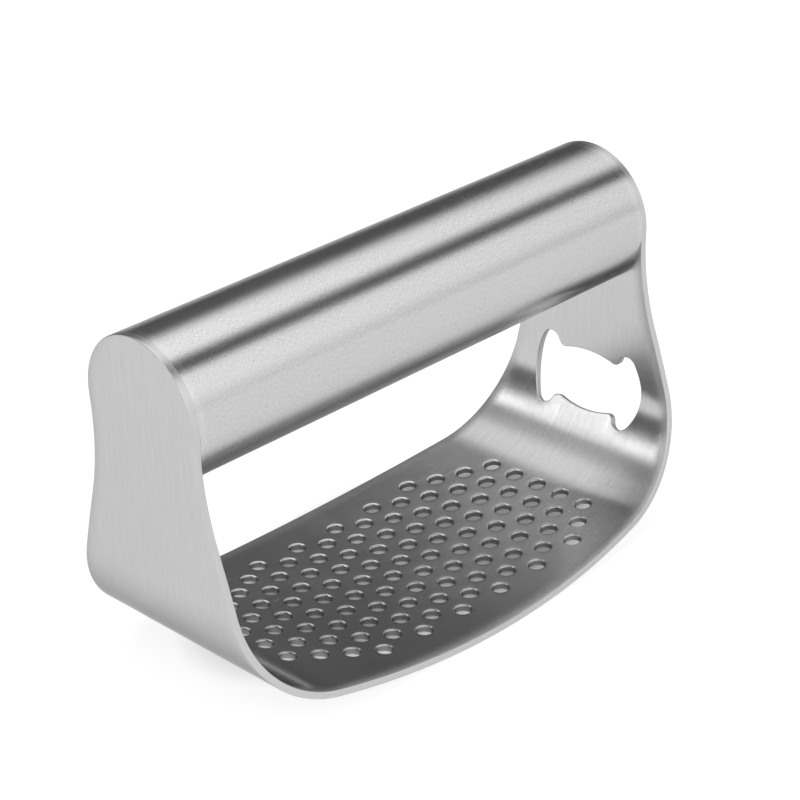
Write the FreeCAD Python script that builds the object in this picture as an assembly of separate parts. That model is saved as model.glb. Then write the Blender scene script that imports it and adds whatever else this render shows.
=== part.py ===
"""Garlic rocker: one bent, perforated steel strip with a round tube handle welded between its walls.

The strip starts as a flat blank with round ends and a waist below each end. It is bent twice, so that the
middle becomes a curved, perforated plate and the two ends stand up as walls. The wall on the +X side has a
bottle opener cut through it, which runs on into the bend. A tube joins the walls, its ends are bevelled for
the weld, and a weld ring ground flush fills each bevel.

Frame: +X runs along the handle towards the opener wall, +Y runs across the strip and +Z is up. The origin is
the middle of the plate's underside, where it touches a flat board. All sizes are in millimetres and degrees.
"""
import FreeCAD, Part
import math
import os

Vector = FreeCAD.Vector

# Strip: the side profile and the distances along the sheet are measured on its outside.
overall_length = 123.0
handle_axis_height = 61.6
sheet_thickness = 1.5
rocker_radius = 258.0
bend_radius = 23.0

# Strip: the outline of the flat blank.
plate_width = 62.4
side_arc_radius = 285.0
waist_radius = 55.0

# Handle tube. Its ends are bevelled down to a thin land, and the weld rings fill the bevels.
handle_diameter = 30.0
tube_wall = 0.8
bevel_land = 0.1
bevel_length = 1.0

# Pressing holes: staggered columns across the strip, kept clear of the sheet's edges and of the bends.
hole_diameter = 3.3
column_pitch = 5.5
row_pitch = 6.6
hole_chamfer = 0.15
edge_clearance = 7.8
end_column_edge_clearance = 11.7
bend_clearance = 1.0

# Bottle opener: a round window with a shallow neck above and below, and a lobe in each corner.
opener_below_bend_line = 4.2
opener_radius = 14.8
neck_height = 7.0
neck_radius = 22.2
lobe_height = 8.7
lobe_radius = 2.2
tooth_radius = 1.6

# Cutters reach this far past the faces that they cut, and past the ends of a curved panel.
overreach = 1.0
angle_overreach = 2.0
samples_per_curve = 13

half_length = overall_length / 2
inner_wall_x = half_length - sheet_thickness
handle_radius = handle_diameter / 2
bend_centre_x = half_length - bend_radius
centre_distance = rocker_radius - bend_radius
bend_centre_z = rocker_radius - math.sqrt(centre_distance ** 2 - bend_centre_x ** 2)
rocker_centre = (0.0, rocker_radius)
bend_centre = (bend_centre_x, bend_centre_z)
rocker_angle = math.degrees(math.asin(bend_centre_x / centre_distance))
wall_angle = 90.0
rocker_arc = math.radians(rocker_angle) * rocker_radius
bend_line = rocker_arc + math.radians(wall_angle - rocker_angle) * bend_radius
handle_distance = bend_line + handle_axis_height - bend_centre_z


def circles_meet(centre_a, reach_a, centre_b, reach_b):
    """The two points where circles about two centres cross, the one with the smaller first number first."""
    gap = math.dist(centre_a, centre_b)
    along = (reach_a ** 2 - reach_b ** 2 + gap ** 2) / (2 * gap)
    across = math.sqrt(reach_a ** 2 - along ** 2)
    unit = ((centre_b[0] - centre_a[0]) / gap, (centre_b[1] - centre_a[1]) / gap)
    foot = (centre_a[0] + along * unit[0], centre_a[1] + along * unit[1])
    crossings = [(foot[0] - turn * across * unit[1], foot[1] + turn * across * unit[0]) for turn in (-1, 1)]
    return sorted(crossings)


def direction(start, end):
    """The angle in degrees of the line from one flat point to another."""
    return math.degrees(math.atan2(end[1] - start[1], end[0] - start[0]))


def circle_point(centre, radius, angle):
    """The flat point on a circle at an angle in degrees from its first axis."""
    turn = math.radians(angle)
    return (centre[0] + radius * math.cos(turn), centre[1] + radius * math.sin(turn))


def between(start, end, count):
    """Evenly spaced numbers from start to end, both included."""
    return [start + (end - start) * step / (count - 1) for step in range(count)]


def arc_through(points):
    """A round edge through three points."""
    return Part.Arc(*points).toShape()


def curve_through(points):
    """A smooth edge through a list of points."""
    curve = Part.BSplineCurve()
    curve.interpolate(points)
    return curve.toShape()


def profile_point(centre, radius, angle, y=0.0):
    """A point about a centre in the XZ plane, angle degrees round from straight down towards +X."""
    turn = math.radians(angle)
    return Vector(centre[0] + radius * math.sin(turn), y, centre[1] - radius * math.cos(turn))


# The blank's outline in (half width, distance along the sheet): a side arc, a waist arc, then the round end.
blank_end_centre = (0.0, handle_distance)
side_centre = (plate_width / 2 - side_arc_radius, 0.0)
waist_reach = handle_radius + waist_radius
waist_centre = circles_meet(blank_end_centre, waist_reach, side_centre, side_arc_radius + waist_radius)[1]
side_end = circle_point(side_centre, side_arc_radius, direction(side_centre, waist_centre))
waist_end = circle_point(blank_end_centre, handle_radius, direction(blank_end_centre, waist_centre))


def half_width(distance):
    """Half of the blank's width at a distance along the sheet from the middle of the plate."""
    if distance <= side_end[1]:
        return side_centre[0] + math.sqrt(side_arc_radius ** 2 - distance ** 2)
    if distance <= waist_end[1]:
        return waist_centre[0] - math.sqrt(waist_radius ** 2 - (distance - waist_centre[1]) ** 2)
    return math.sqrt(max(handle_radius ** 2 - (distance - handle_distance) ** 2, 0.0))


def rocker_distance(angle):
    """How far along the sheet an angle of the rocker's circle lies, on either half."""
    return abs(math.radians(angle)) * rocker_radius


def bend_distance(angle):
    """How far along the sheet an angle of the bend's circle lies."""
    return rocker_arc + math.radians(angle - rocker_angle) * bend_radius


def sheet_place(distance):
    """The circle centre, its radius and the angle at a distance along the curved part of the +X half."""
    if distance <= rocker_arc:
        return rocker_centre, rocker_radius, math.degrees(distance / rocker_radius)
    return bend_centre, bend_radius, rocker_angle + math.degrees((distance - rocker_arc) / bend_radius)


# Curved panels: the rocker plate and the two bends.
def sector_profile(centre, radius, start, end):
    """The sheet's section between two angles of one circle, as a face in the XZ plane."""
    inner = radius - sheet_thickness
    angles = between(start, end, 3)
    outside = [profile_point(centre, radius, angle) for angle in angles]
    inside = [profile_point(centre, inner, angle) for angle in angles]
    start_line = Part.makeLine(inside[0], outside[0])
    end_line = Part.makeLine(outside[2], inside[2])
    return Part.Face(Part.Wire([arc_through(outside), end_line, arc_through(inside), start_line]))


def edge_trimmer(centre, radius, start, end, distance_at, side):
    """A solid that covers everything beyond the blank's edge on one side of a curved panel."""
    rims = []
    for reach in (radius + overreach, radius - sheet_thickness - overreach):
        angles = between(start - angle_overreach, end + angle_overreach, samples_per_curve)
        widths = [side * half_width(distance_at(angle)) for angle in angles]
        rims.append(curve_through([profile_point(centre, reach, *place) for place in zip(angles, widths)]))
    return Part.makeRuledSurface(*rims).extrude(Vector(0, side * plate_width, 0))


def curved_panel(centre, radius, start, end, distance_at):
    """A panel of the bent strip between two angles, trimmed to the blank's outline on both sides."""
    width = plate_width + 2 * overreach
    face = sector_profile(centre, radius, start, end)
    face.translate(Vector(0, -width / 2, 0))
    trimmers = [edge_trimmer(centre, radius, start, end, distance_at, side) for side in (-1, 1)]
    return face.extrude(Vector(0, width, 0)).cut(trimmers)


def rocker_panel():
    """The curved plate between the two bends."""
    return curved_panel(rocker_centre, rocker_radius, -rocker_angle, rocker_angle, rocker_distance)


def bend_panel():
    """The bend on the +X side."""
    return curved_panel(bend_centre, bend_radius, rocker_angle, wall_angle, bend_distance)


# Flat walls.
def wall_point(width, distance):
    """A point of the flat blank set upright on the outside of the +X wall."""
    return Vector(half_length, width, bend_centre_z + distance - bend_line)


def outline_arc(side, start, end):
    """The blank's edge between two distances along the sheet, set upright on the +X wall."""
    return arc_through([wall_point(side * half_width(place), place) for place in between(start, end, 3)])


def wall_panel():
    """The flat wall on the +X side, from the bend line to its round top."""
    edges = [outline_arc(side, 0.0, side_end[1]) for side in (-1, 1)]
    edges += [outline_arc(side, side_end[1], waist_end[1]) for side in (-1, 1)]
    top = wall_point(0.0, handle_distance + handle_radius)
    edges.append(arc_through([wall_point(-waist_end[0], waist_end[1]), top, wall_point(*waist_end)]))
    edges.append(Part.makeLine(wall_point(-plate_width / 2, 0.0), wall_point(plate_width / 2, 0.0)))
    blank = Part.Face(Part.Wire(Part.__sortEdges__(edges))).extrude(Vector(-sheet_thickness, 0, 0))
    height = handle_axis_height + handle_radius - bend_centre_z + overreach
    corner = Vector(inner_wall_x - overreach, -plate_width, bend_centre_z)
    return blank.common(Part.makeBox(sheet_thickness + 2 * overreach, 2 * plate_width, height, corner))


# Bottle opener. Its outline is in (width, height) about the window's middle, on the flat blank.
window_middle = (0.0, 0.0)
lobe_middle = lobe_height - lobe_radius
lobe_centre = (math.sqrt((opener_radius - lobe_radius) ** 2 - lobe_middle ** 2), lobe_middle)
neck_centre = (0.0, neck_height - neck_radius)
tooth_reach = lobe_radius + tooth_radius
tooth_centre = circles_meet(neck_centre, neck_radius + tooth_radius, lobe_centre, tooth_reach)[0]


def opener_arcs():
    """The window's upper outline from +Y to -Y, each arc as its centre, radius, first and last angle."""
    lobe_start = direction(window_middle, lobe_centre)
    neck_start = direction(neck_centre, tooth_centre)
    half = [
        (window_middle, opener_radius, 0.0, lobe_start),
        (lobe_centre, lobe_radius, lobe_start, direction(lobe_centre, tooth_centre)),
        (tooth_centre, tooth_radius, direction(tooth_centre, lobe_centre), neck_start - 180.0),
    ]
    neck = (neck_centre, neck_radius, neck_start, 180.0 - neck_start)
    other = [((-at[0], at[1]), radius, 180.0 - end, 180.0 - start) for at, radius, start, end in reversed(half)]
    return half + [neck] + other


def opener_points(arc, side, count):
    """Points along one arc of the window's upper outline, or of its lower one where side is -1."""
    centre, radius, start, end = arc
    points = [circle_point(centre, radius, angle) for angle in between(start, end, count)]
    return [(width, side * height) for width, height in points]


def wall_window():
    """The cutter for the part of the opener that lies in the flat wall."""
    distance = bend_line - opener_below_bend_line
    edges = []
    for side in (-1, 1):
        for arc in opener_arcs():
            edges.append(arc_through([wall_point(y, distance + rise) for y, rise in opener_points(arc, side, 3)]))
    face = Part.Face(Part.Wire(Part.__sortEdges__(edges)))
    face.translate(Vector(overreach, 0, 0))
    return face.extrude(Vector(-sheet_thickness - 2 * overreach, 0, 0))


def bend_sweep(arc, side):
    """The space above the lower outline along one arc, or below the upper outline, round the bend."""
    rims = []
    for reach in (bend_radius + overreach, bend_radius - sheet_thickness - overreach):
        points = []
        for width, height in opener_points(arc, side, samples_per_curve):
            angle = wall_angle - math.degrees((opener_below_bend_line - height) / bend_radius)
            points.append(profile_point(bend_centre, reach, angle, width))
        rims.append(curve_through(points))
    sweep = side * (math.degrees(2 * lobe_height / bend_radius) + angle_overreach)
    return Part.makeRuledSurface(*rims).revolve(Vector(bend_centre_x, 0, bend_centre_z), Vector(0, 1, 0), sweep)


def bend_windows():
    """The cutters for the part of the opener that lies in the bend, one for each arc of its outline."""
    return [bend_sweep(arc, -1).common(bend_sweep(arc, 1)) for arc in opener_arcs()]


# Pressing holes.
def hole_places():
    """Where each hole's middle lies: its distance along the sheet, which half, and its place across it."""
    columns_per_half = int((rocker_arc - bend_clearance) / column_pitch + 0.5)
    rows = math.ceil(plate_width / row_pitch)
    places = []
    for column in range(-columns_per_half, columns_per_half):
        distance = abs(column + 0.5) * column_pitch
        at_end = column in (-columns_per_half, columns_per_half - 1)
        clearance = end_column_edge_clearance if at_end else edge_clearance
        stagger = row_pitch / 4 if column % 2 == 0 else -row_pitch / 4
        for row in range(-rows, rows + 1):
            across = row * row_pitch + stagger
            if half_width(distance) - abs(across) >= clearance:
                places.append((distance, 1 if column >= 0 else -1, across))
    return places


def hole_cutters():
    """A plain cutter for every hole, set square to the sheet."""
    cutters = []
    for distance, half, across in hole_places():
        centre, radius, angle = sheet_place(distance)
        place = profile_point(centre, radius, angle, across)
        place.x *= half
        drill = Part.makeCylinder(hole_diameter / 2, sheet_thickness + 2 * overreach, Vector(0, 0, -overreach))
        drill.Placement = FreeCAD.Placement(place, FreeCAD.Rotation(Vector(0, 1, 0), -half * angle))
        cutters.append(drill)
    return cutters


def hole_rims(shape):
    """The round edges of every pressing hole, at both faces of the sheet."""
    rims = []
    for face in shape.Faces:
        is_bore = isinstance(face.Surface, Part.Cylinder) and math.isclose(face.Surface.Radius, hole_diameter / 2)
        if is_bore:
            rims += [edge for edge in face.Edges if not isinstance(edge.Curve, (Part.Line, Part.LineSegment))]
    return rims


# The pieces.
def rocker_strip():
    """The whole strip: plate, bends and walls in one sheet, with the opener and the holes cut through it."""
    bend = bend_panel()
    wall = wall_panel()
    panels = [shape.mirror(Vector(0, 0, 0), Vector(1, 0, 0)) for shape in (bend, wall)]
    panels += [bend.cut(bend_windows()), wall.cut(wall_window())]
    drilled = rocker_panel().fuse(panels).cut(hole_cutters())
    return drilled.makeChamfer(hole_chamfer, hole_rims(drilled))


def ring_about_handle(profile):
    """A solid turned about the handle's axis from (place along the axis, radius) points."""
    points = [Vector(along, 0, handle_axis_height + radius) for along, radius in profile]
    face = Part.Face(Part.makePolygon(points + points[:1]))
    return face.revolve(Vector(0, 0, handle_axis_height), Vector(1, 0, 0), 360)


def handle_tube():
    """The handle: a tube that ends against the insides of the walls, bevelled outside at both ends."""
    bore = handle_radius - tube_wall
    land = bore + bevel_land
    body_end = inner_wall_x - bevel_length
    half = [(inner_wall_x, bore), (inner_wall_x, land), (body_end, handle_radius)]
    return ring_about_handle(half + [(-along, radius) for along, radius in reversed(half)])


def weld_ring(side):
    """The weld that fills one bevel, flush with the tube and with the wall's round top."""
    land = handle_radius - tube_wall + bevel_land
    profile = [
        (side * inner_wall_x, land),
        (side * inner_wall_x, handle_radius),
        (side * (inner_wall_x - bevel_length), handle_radius),
    ]
    return ring_about_handle(profile)


nodes = {
    "rocker_strip": rocker_strip(),
    "handle_tube": handle_tube(),
    "left_weld_ring": weld_ring(-1),
    "right_weld_ring": weld_ring(1),
}

os.makedirs("parts", exist_ok=True)
for name, shape in nodes.items():
    shape.exportStep(f"parts/{name}.step")
    print(name, len(shape.Solids), "solid", round(shape.Volume, 1), "mm3", shape.isValid(), shape.BoundBox)
print("holes", len(hole_places()))
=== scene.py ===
"""The garlic rocker's looks: a brushed, perforated steel strip with a welded tube handle.

The strip is worked out flat, in distances along and across the sheet, and then bent by one formula, so that
its faces, its rounded edges, its pressing holes and its opener all follow the same blank. The handle and its
two weld rings are profiles turned about the handle's axis. Everything is in metres, in the frame of the
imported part.
"""

import logging
import math
from dataclasses import dataclass, field
from enum import Enum

import bpy
import numpy as np
from mathutils import Matrix, Vector


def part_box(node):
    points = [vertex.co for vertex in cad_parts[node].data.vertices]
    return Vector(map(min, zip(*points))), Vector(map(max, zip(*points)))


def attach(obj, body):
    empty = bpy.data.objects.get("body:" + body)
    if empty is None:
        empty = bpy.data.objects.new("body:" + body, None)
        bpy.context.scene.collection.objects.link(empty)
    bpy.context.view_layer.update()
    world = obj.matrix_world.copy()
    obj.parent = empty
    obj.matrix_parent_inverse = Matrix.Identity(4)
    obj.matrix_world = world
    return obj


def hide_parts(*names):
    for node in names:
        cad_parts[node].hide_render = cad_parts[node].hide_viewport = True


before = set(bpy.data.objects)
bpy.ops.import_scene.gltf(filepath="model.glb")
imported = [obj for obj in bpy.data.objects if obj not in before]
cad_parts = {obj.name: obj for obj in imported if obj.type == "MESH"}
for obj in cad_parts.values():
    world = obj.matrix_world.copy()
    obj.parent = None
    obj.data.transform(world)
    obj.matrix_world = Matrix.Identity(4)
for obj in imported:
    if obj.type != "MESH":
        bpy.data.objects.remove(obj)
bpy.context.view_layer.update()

MM = 0.001
WELD_CELL = 0.0005 * MM
PLACE, NORMAL, FLAT, MARKS = slice(0, 3), slice(3, 6), slice(6, 8), slice(8, 10)
MARK_NAMES = ("cut", "edge")
RANGE_SOCKETS = ("Value", "From Min", "From Max", "To Min", "To Max")
FLOAT = "NodeSocketFloat"
VECTOR = "NodeSocketVector"
log = logging.getLogger("garlic_rocker")


# Mesh building

@dataclass
class Patch:
    """A grid of points, each with a normal, a flat place and two marks: how cut and how near an edge."""

    points: np.ndarray
    normals: np.ndarray
    flat: np.ndarray
    marks: np.ndarray
    keep: np.ndarray | None = None


class MeshMaker:
    """Collects patches and joins them into one closed mesh with exact normals."""

    def __init__(self) -> None:
        """Starts with no patches."""
        self.patches: list[Patch] = []

    def add(self, points: np.ndarray, normals: np.ndarray, flat: np.ndarray, cut: np.ndarray | float = 0.0,
            edge: np.ndarray | float = 0.0, keep: np.ndarray | None = None) -> None:
        """Adds one grid of points.

        Args:
            points: Places as (rows, columns, 3).
            normals: Outward directions of the same shape, or one that spreads to it.
            flat: Places on the flat blank as (rows, columns, 2), which become the UV map.
            cut: How much of a raw cut each point shows, from 0 to 1.
            edge: How near a worn edge each point lies, from 0 to 1.
            keep: Which grid squares are faces, as (rows - 1, columns - 1), or None for all.
        """
        spread = np.broadcast_to(normals, points.shape)
        unit = spread / np.linalg.norm(spread, axis=-1, keepdims=True)
        shape = points.shape[:2]
        marks = np.stack([np.broadcast_to(cut, shape), np.broadcast_to(edge, shape)], axis=-1)
        self.patches.append(Patch(points, unit, flat, marks, keep))

    def triangles(self) -> tuple[np.ndarray, np.ndarray]:
        """Splits every kept grid square in two, turned to agree with the given normals.

        Returns:
            What every point carries (place, normal, flat place, marks), and the triangles as rows of indices.
        """
        faces = []
        start = 0
        for patch in self.patches:
            rows, columns = patch.points.shape[:2]
            index = start + np.arange(rows * columns).reshape(rows, columns)
            keep = np.ones((rows - 1, columns - 1), bool) if patch.keep is None else patch.keep
            corners = [index[:-1, :-1][keep], index[1:, :-1][keep], index[1:, 1:][keep], index[:-1, 1:][keep]]
            faces.append(np.stack([corners[0], corners[1], corners[2]], axis=1))
            faces.append(np.stack([corners[0], corners[2], corners[3]], axis=1))
            start += rows * columns
        carried = np.concatenate([
            np.concatenate([patch.points, patch.normals, patch.flat, patch.marks], axis=-1)
            .reshape(-1, MARKS.stop) for patch in self.patches])
        faces = np.concatenate(faces)
        a, b, c = (carried[faces[:, corner], PLACE] for corner in range(3))
        turned = np.einsum("ij,ij->i", np.cross(b - a, c - a), carried[faces, NORMAL].sum(axis=1)) < 0
        faces[turned] = faces[turned][:, ::-1]
        return carried, faces

    def build(self, name: str) -> bpy.types.Object:
        """Welds the patches and makes the object.

        Args:
            name: The piece's name.

        Returns:
            The new object, linked to the scene, with its UV map and its exact normals.
        """
        carried, faces = self.triangles()
        points = carried[:, PLACE]
        cells = np.round(points / WELD_CELL).astype(np.int64)
        _, first, welded = np.unique(cells, axis=0, return_index=True, return_inverse=True)
        joined = welded.reshape(-1)[faces]
        a, b, c = joined.T
        whole = (a != b) & (b != c) & (c != a)
        faces, joined = faces[whole], joined[whole]
        mesh = bpy.data.meshes.new(name)
        mesh.from_pydata(points[first], [], joined)
        mesh.polygons.foreach_set("use_smooth", np.ones(len(joined), bool))
        corners = carried[faces.reshape(-1)]
        layer = mesh.uv_layers.new(name="UVMap")
        layer.data.foreach_set("uv", corners[:, FLAT].reshape(-1).astype(np.float32))
        for mark, column in zip(MARK_NAMES, corners[:, MARKS].T):
            values = mesh.attributes.new(mark, "FLOAT", "CORNER")
            values.data.foreach_set("value", column.astype(np.float32))
        mesh.normals_split_custom_set(corners[:, NORMAL])
        mesh.update()
        thing = bpy.data.objects.new(name, mesh)
        bpy.context.scene.collection.objects.link(thing)
        return thing


def lerp(start: np.ndarray, end: np.ndarray, share: np.ndarray) -> np.ndarray:
    """The straight-line blend of two arrays."""
    return start + (end - start) * share


# The bent strip

@dataclass(frozen=True)
class BentSheet:
    """The strip's own shape: its side profile, its flat outline and the bending formula.

    Distances along the sheet are measured on its outside from the middle of the plate, positive towards +X.
    The depth of a point is how far it lies below the outside, towards the inside of the U.
    """

    half_length: float
    axis_height: float
    handle_radius: float
    thickness: float = 1.5 * MM
    rocker_radius: float = 258.0 * MM
    bend_radius: float = 23.0 * MM
    plate_width: float = 62.4 * MM
    side_arc_radius: float = 285.0 * MM
    waist_radius: float = 55.0 * MM

    @property
    def bend_centre(self) -> tuple[float, float]:
        """The bend's centre in X and Z: its circle touches the rocker's circle from inside."""
        x = self.half_length - self.bend_radius
        return x, self.rocker_radius - math.sqrt((self.rocker_radius - self.bend_radius) ** 2 - x ** 2)

    @property
    def rocker_angle(self) -> float:
        """Half of the angle that the plate covers on its circle, in radians."""
        return math.asin(self.bend_centre[0] / (self.rocker_radius - self.bend_radius))

    @property
    def rocker_arc(self) -> float:
        """How far along the sheet the plate ends and the bend starts."""
        return self.rocker_angle * self.rocker_radius

    @property
    def bend_line(self) -> float:
        """How far along the sheet the bend ends and the wall starts."""
        return self.rocker_arc + (math.pi / 2 - self.rocker_angle) * self.bend_radius

    @property
    def handle_distance(self) -> float:
        """How far along the sheet the handle's axis lies."""
        return self.bend_line + self.axis_height - self.bend_centre[1]

    @property
    def waist_centre(self) -> tuple[float, float]:
        """The waist arc's centre: where circles grown from its two neighbours cross.

        Returns:
            The centre as (across, along).
        """
        side = np.array([self.plate_width / 2 - self.side_arc_radius, 0.0])
        end = np.array([0.0, self.handle_distance])
        reach_end = self.handle_radius + self.waist_radius
        reach_side = self.side_arc_radius + self.waist_radius
        gap = float(np.linalg.norm(side - end))
        unit = (side - end) / gap
        foot = (reach_end ** 2 - reach_side ** 2 + gap ** 2) / (2 * gap)
        rise = math.sqrt(reach_end ** 2 - foot ** 2)
        across, along = end + foot * unit + rise * np.array([-unit[1], unit[0]])
        return float(across), float(along)

    def outline(self, along: np.ndarray, inset: float) -> tuple[np.ndarray, np.ndarray]:
        """The blank's edge, moved in by an inset: a side arc, a waist arc and a round end.

        An arc moved in keeps its centre, so only its radius changes.

        Args:
            along: Distances along the sheet.
            inset: How far inside the true edge to stay.

        Returns:
            Half of the blank's width there, and the direction out of the sheet's edge as (along, across).
        """
        distance = np.abs(along)
        side_centre = self.plate_width / 2 - self.side_arc_radius
        waist_across, waist_along = self.waist_centre
        side_radius = self.side_arc_radius - inset
        waist_radius = self.waist_radius + inset
        end_radius = self.handle_radius - inset
        side_stop = side_radius * waist_along / math.hypot(waist_along, waist_across - side_centre)
        to_waist = math.hypot(waist_across, waist_along - self.handle_distance)
        waist_stop = self.handle_distance + end_radius * (waist_along - self.handle_distance) / to_waist
        over = distance - self.handle_distance
        on_side = side_centre + np.sqrt(np.maximum(side_radius ** 2 - distance ** 2, 0.0))
        on_waist = waist_across - np.sqrt(np.maximum(waist_radius ** 2 - (distance - waist_along) ** 2, 0.0))
        on_end = np.sqrt(np.maximum(end_radius ** 2 - over ** 2, 0.0))
        parts = [distance <= side_stop, distance <= waist_stop]
        width = np.select(parts, [on_side, on_waist], on_end)
        out_along = np.select(parts, [distance, waist_along - distance], over)
        out_across = np.select(parts, [width - side_centre, waist_across - width], width)
        length = np.hypot(out_along, out_across)
        return width, np.stack([np.sign(along) * out_along, out_across], axis=-1) / length[..., None]

    def bend(self, along: np.ndarray, across: np.ndarray,
             depth: np.ndarray | float) -> tuple[np.ndarray, np.ndarray, np.ndarray]:
        """Bends flat places into the strip's real shape.

        A distance becomes an angle on the rocker's circle, then one on the bend's circle, then a height up
        the wall. The left half mirrors the right half.

        Args:
            along: Distances along the sheet.
            across: Places across it.
            depth: How far below the outside each point lies.

        Returns:
            The places, the outward directions and the directions along the sheet, each as (..., 3).
        """
        distance = np.abs(along)
        half = np.where(along < 0, -1.0, 1.0)
        bend_x, bend_z = self.bend_centre
        in_bend = distance > self.rocker_arc
        bend_angle = self.rocker_angle + (distance - self.rocker_arc) / self.bend_radius
        angle = np.minimum(np.where(in_bend, bend_angle, distance / self.rocker_radius), math.pi / 2)
        radius = np.where(in_bend, self.bend_radius, self.rocker_radius) - depth
        centre_x = np.where(in_bend, bend_x, 0.0)
        centre_z = np.where(in_bend, bend_z, self.rocker_radius) + np.maximum(distance - self.bend_line, 0.0)
        x = half * (centre_x + radius * np.sin(angle))
        z = centre_z - radius * np.cos(angle)
        flat = np.zeros_like(x)
        outward = np.stack([half * np.sin(angle), flat, -np.cos(angle)], axis=-1)
        onward = np.stack([np.cos(angle), flat, half * np.sin(angle)], axis=-1)
        return np.stack([x, across + flat, z], axis=-1), outward, onward


class Face(Enum):
    """Which of the strip's two faces a surface belongs to."""

    OUTSIDE = "outside"
    INSIDE = "inside"


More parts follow.
